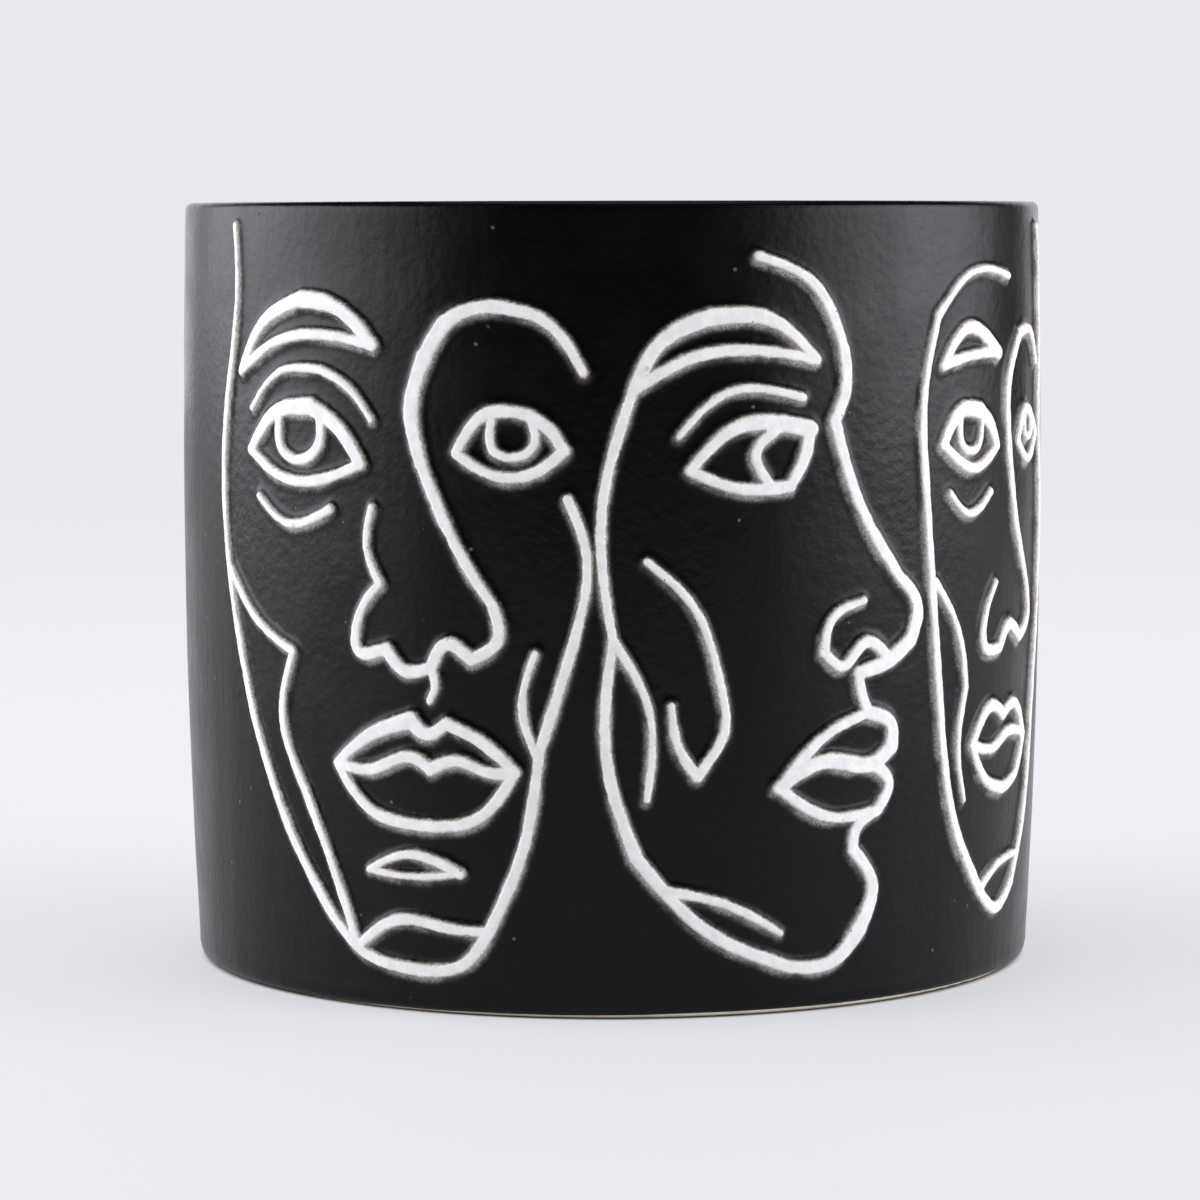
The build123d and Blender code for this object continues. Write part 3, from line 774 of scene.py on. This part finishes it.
def black_glaze():
    """Satin black glaze: orange peel, pinholes and runs, thin beside the lines, with a painted reflection of
    the floor below them.
    """
    material, tree, shader = new_material("black_glaze")
    ragged = mottle(tree, scale=2600, detail=3, first=-0.06, last=0.06)
    edge = math_node(tree, "ADD", attribute(tree, "line_distance"), ragged)
    thin = ramp(tree, edge, *THIN_REACH)
    washed = ramp(tree, edge, *WASHED_REACH)
    patchy = mottle(tree, scale=420, detail=3, first=0.45, low=0.35)
    colour = blend_colour(tree, product(tree, thin, patchy), GLAZE_BLACK, GLAZE_THIN)
    colour = blend_colour(tree, product(tree, washed, patchy), colour, GLAZE_WASHED)
    # Painted reflection: grainy whitish haze below the lines, where their lower slopes would mirror the
    # bright floor
    below = math_node(tree, "ADD", attribute(tree, "dust_distance"), ragged)
    sheen_spread = math_node(tree, "POWER", ramp(tree, below, *SHEEN_REACH), SHEEN_FALL)
    sheen_grains = mottle(tree, scale=5200, detail=2, first=0.35, low=0.38, high=0.6)
    sheen_patches = mottle(tree, scale=230, detail=3, first=0.15, low=0.38, high=0.62)
    painted_sheen = product(tree, product(tree, sheen_spread, sheen_grains), sheen_patches)
    colour = blend_colour(tree, painted_sheen, colour, GLAZE_PAINTED_SHEEN)
    pinholes = spots(tree, scale=420, size=0.11)
    colour = blend_colour(tree, product(tree, pinholes, PINHOLE_SHARE), colour, GLAZE_PINHOLE)
    tree.links.new(colour, shader.inputs["Base Color"])
    shader.inputs["Specular IOR Level"].default_value = GLAZE_SHINE
    rough = mottle(tree, 160, 4, *GLAZE_ROUGHNESS)
    dulled = math_node(tree, "ADD", rough, product(tree, thin, THIN_DULLNESS))
    tree.links.new(dulled, shader.inputs["Roughness"])
    relief = bump(tree, noise(tree, scale=900, detail=2), PEEL_DEPTH)
    relief = bump(tree, noise(tree, scale=260, detail=2, stretch=RUN_STRETCH), RUN_DEPTH, relief)
    relief = bump(tree, product(tree, pinholes, -1.0), PINHOLE_DEPTH, relief)
    tree.links.new(relief, shader.inputs["Normal"])
    return material


def line_clay():
    """Bare white clay of the raised lines: stained beige at the edges, with flecks and pits."""
    material, tree, shader = new_material("raised_line_clay")
    ragged = mottle(tree, scale=3000, detail=3, first=-0.09, last=0.09)
    edge = math_node(tree, "ADD", attribute(tree, "line_distance"), ragged)
    cloudy = mottle(tree, scale=700, detail=4, low=0.35, high=0.65)
    colour = blend_colour(tree, cloudy, LINE_SHADE, LINE_WHITE)
    patchy = mottle(tree, scale=380, detail=2, first=0.3, low=0.4, high=0.62)
    stain = product(tree, ramp(tree, edge, *STAIN_REACH), patchy)
    colour = blend_colour(tree, stain, colour, LINE_STAIN)
    sparse = mottle(tree, scale=150, detail=1, low=0.5, high=0.62)
    fleck = product(tree, spots(tree, scale=520, size=0.2), sparse)
    colour = blend_colour(tree, product(tree, fleck, FLECK_SHARE), colour, LINE_FLECK)
    pitted = ramp(tree, edge, *PIT_REACH, last=PIT_SHARE)
    pits = product(tree, spots(tree, scale=1000, size=0.15), pitted)
    colour = blend_colour(tree, pits, colour, LINE_PIT)
    tree.links.new(colour, shader.inputs["Base Color"])
    shader.inputs["Roughness"].default_value = LINE_ROUGHNESS
    relief = bump(tree, noise(tree, scale=2600, detail=3), LINE_GRAIN_DEPTH)
    relief = bump(tree, noise(tree, scale=700, detail=2), LINE_LUMP_DEPTH, relief)
    tree.links.new(relief, shader.inputs["Normal"])
    return material


def bare_clay():
    """Cream unglazed stoneware of the foot and underside."""
    material, tree, shader = new_material("bare_clay")
    colour = blend_colour(tree, mottle(tree, scale=320, detail=4), CLAY_SHADE, CLAY_CREAM)
    specks = product(tree, spots(tree, scale=500, size=0.22), SPECK_SHARE)
    colour = blend_colour(tree, specks, colour, CLAY_SPECK)
    tree.links.new(colour, shader.inputs["Base Color"])
    shader.inputs["Roughness"].default_value = CLAY_ROUGHNESS
    relief = bump(tree, noise(tree, scale=1800, detail=4), CLAY_GRAIN_DEPTH)
    tree.links.new(relief, shader.inputs["Normal"])
    return material


def liner():
    """Black glaze of the bore and the floor."""
    material, tree, shader = new_material("liner_glaze")
    colour = blend_colour(tree, mottle(tree, scale=90, detail=3), LINER_BLACK, LINER_GREY)
    tree.links.new(colour, shader.inputs["Base Color"])
    tree.links.new(mottle(tree, 120, 3, *LINER_ROUGHNESS), shader.inputs["Roughness"])
    relief = bump(tree, noise(tree, scale=700, detail=2), LINER_PEEL_DEPTH)
    relief = bump(tree, noise(tree, scale=120, detail=2), LINER_WAVE_DEPTH, relief)
    tree.links.new(relief, shader.inputs["Normal"])
    return material


def studio_paper():
    """Pale paper of the floor, with a painted shadow under the foot, which passes into the evenly lit
    backdrop away from the jar.
    """
    material, tree, shader = new_material("studio_paper")
    shader.inputs["Roughness"].default_value = PAPER_ROUGHNESS
    place = tree.nodes.new("ShaderNodeTexCoord").outputs["Object"]
    length = tree.nodes.new("ShaderNodeVectorMath")
    length.operation = "LENGTH"
    tree.links.new(place, length.inputs[0])
    away = length.outputs["Value"]
    # Painted contact shadow: dark paper and no glow under the foot
    open_floor = ramp(tree, away, *PAPER_CONTACT)
    tree.links.new(blend_colour(tree, open_floor, PAPER_PAINTED_SHADOW, PAPER), shader.inputs["Base Color"])
    strength = ramp(tree, away, *GLOW_FADE, *GLOW_STRENGTHS)
    glow = node(tree, "ShaderNodeEmission", Color=(*BACKDROP, 1), Strength=strength)
    share = product(tree, ramp(tree, away, *PAPER_FADE, PAPER_GLOW_NEAR, 1.0), open_floor)
    mix = tree.nodes.new("ShaderNodeMixShader")
    tree.links.new(share, mix.inputs[0])
    tree.links.new(shader.outputs[0], mix.inputs[1])
    tree.links.new(glow.outputs[0], mix.inputs[2])
    tree.links.new(mix.outputs[0], tree.nodes["Material Output"].inputs["Surface"])
    return material


# ---------------------------------------------------------------- the jar

glaze_material = black_glaze()
line_material = line_clay()
clay_material = bare_clay()
liner_material = liner()

whole_field = np.full((FIELD_ROWS, FIELD_COLUMNS), FAR)
for face_name, azimuth, drawing in FACES:
    field = distance_field(azimuth, drawing) + RAGGED
    whole_field = np.minimum(whole_field, field)
    sides = [point[0] for strokes in drawing.values() for stroke in strokes for point in stroke[2]]
    reach = (min(sides) - FAR, max(sides) + FAR)
    for half_name, turn in HALVES:
        node_name = f"{half_name}_{face_name}"
        beads = build_lines(f"{node_name}_lines", field, azimuth, reach, turn, line_material)
        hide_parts(node_name)

coat = build_skin(whole_field, glaze_material)
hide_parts("outer_glaze")

for name, material in (("ceramic_body", clay_material), ("inner_glaze", liner_material)):
    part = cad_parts[name]
    part.data.materials.clear()
    part.data.materials.append(material)


# ---------------------------------------------------------------- studio

# Edge of the floor that shows in the glaze, and of the whole floor: shift to the back and radius
MIRRORED_FLOOR = (0.3, 0.85)
WHOLE_FLOOR = (0, 6.0)
FLOOR_CENTRE = (0, 0.001)
FLOOR_COLUMNS = 96


def floor_ring(name, inner, outer, material):
    """A flat ring of floor between two circles, in metres."""
    vertices = []
    for shift, radius in (inner, outer):
        for k in range(FLOOR_COLUMNS):
            turn = 2 * math.pi * k / FLOOR_COLUMNS
            vertices.append((radius * math.sin(turn), shift - radius * math.cos(turn), 0))
    faces = []
    for k in range(FLOOR_COLUMNS):
        after = (k + 1) % FLOOR_COLUMNS
        faces.append((k, after, FLOOR_COLUMNS + after, FLOOR_COLUMNS + k))
    mesh = bpy.data.meshes.new(name)
    mesh.from_pydata(vertices, [], faces)
    mesh.materials.append(material)
    sheet = bpy.data.objects.new(name, mesh)
    bpy.context.scene.collection.objects.link(sheet)
    return sheet


paper = studio_paper()
floor_ring("near_floor", FLOOR_CENTRE, MIRRORED_FLOOR, paper)
far_floor = floor_ring("far_floor", MIRRORED_FLOOR, WHOLE_FLOOR, paper)
far_floor.visible_glossy = False


# Colour of the lamps, slightly blue
LAMP_TINT = (0.98, 0.98, 1.05)


def softbox(name, azimuth, distance, height, size, spread, radiance):
    """A soft lamp that faces the jar's axis, brightest at its middle; the camera doesn't see it."""
    width, tall = size
    # For the same energy, a lamp with less spread is brighter in its middle
    half = math.radians(spread) / 2
    focus = math.tan(half) / (math.tan(half) - half)
    data = bpy.data.lights.new(name, "AREA")
    data.shape = "RECTANGLE"
    data.size = width
    data.size_y = tall
    data.spread = 2 * half
    data.color = LAMP_TINT
    data.energy = radiance * math.pi * width * tall / focus
    lamp = bpy.data.objects.new(name, data)
    turn = math.radians(azimuth)
    lamp.location = (distance * math.sin(turn), -distance * math.cos(turn), height)
    lamp.rotation_euler = (math.pi / 2, 0, turn)
    lamp.visible_camera = False
    bpy.context.scene.collection.objects.link(lamp)
    return lamp


# Azimuths from the front towards +X and spreads in degrees, the rest in metres
softbox("left_softbox", azimuth=-94, distance=1.0, height=0.32, size=(2.2, 0.6), spread=102, radiance=7.8)
softbox("right_softbox", azimuth=83, distance=1.0, height=0.32, size=(1.8, 0.6), spread=84, radiance=9.0)
softbox("back_glow", azimuth=180, distance=1.3, height=0.5, size=(1.9, 1.0), spread=150, radiance=1.7)
overhead = softbox("overhead", azimuth=0, distance=0.1, height=1.5, size=(1.2, 1.2), spread=160, radiance=1.1)
overhead.rotation_euler = (0, 0, 0)

# What lights the paper and the lines, and what the glaze reflects beside the lamps
SOFT_LIGHT = (0.955, 0.958, 0.985)
SOFT_STRENGTH = 0.46
ROOM_DARK = (0.008, 0.008, 0.009)


def set_world():
    """Pale backdrop for the camera, soft light for the paper and the lines, darkness for reflections."""
    world = bpy.data.worlds.new("studio")
    bpy.context.scene.world = world
    world.use_nodes = True
    world.cycles.sampling_method = "NONE"
    tree = world.node_tree
    soft = tree.nodes["Background"]
    soft.inputs["Color"].default_value = (*SOFT_LIGHT, 1)
    soft.inputs["Strength"].default_value = SOFT_STRENGTH
    dark = node(tree, "ShaderNodeBackground", Color=(*ROOM_DARK, 1), Strength=1.0)
    seen = node(tree, "ShaderNodeBackground", Color=(*BACKDROP, 1), Strength=1.0)
    rays = tree.nodes.new("ShaderNodeLightPath")
    mirrored = tree.nodes.new("ShaderNodeMixShader")
    tree.links.new(rays.outputs["Is Glossy Ray"], mirrored.inputs[0])
    tree.links.new(soft.outputs[0], mirrored.inputs[1])
    tree.links.new(dark.outputs[0], mirrored.inputs[2])
    direct = tree.nodes.new("ShaderNodeMixShader")
    tree.links.new(rays.outputs["Is Camera Ray"], direct.inputs[0])
    tree.links.new(mirrored.outputs[0], direct.inputs[1])
    tree.links.new(seen.outputs[0], direct.inputs[2])
    tree.links.new(direct.outputs[0], tree.nodes["World Output"].inputs["Surface"])


set_world()

# Place in metres, lens and sensor in millimetres, angles in degrees
CAMERA_DISTANCE = 0.5
CAMERA_BELOW_RIM = 0.0023
CAMERA_DOWN = 5.057
CAMERA_ROLL = 0.112
CAMERA_TURN = 0.155
LENS = 128.0
SENSOR = 36.0
NEAREST = 0.01
camera_data = bpy.data.cameras.new("camera")
camera_data.lens = LENS
camera_data.sensor_width = SENSOR
camera_data.clip_start = NEAREST
camera = bpy.data.objects.new("camera", camera_data)
camera.location = (0, -CAMERA_DISTANCE, JAR_HEIGHT * MM - CAMERA_BELOW_RIM)
camera.rotation_euler = [math.radians(angle) for angle in (90 - CAMERA_DOWN, CAMERA_ROLL, CAMERA_TURN)]
bpy.context.scene.collection.objects.link(camera)
bpy.context.scene.camera = camera
bpy.context.scene.view_settings.view_transform = "Standard"
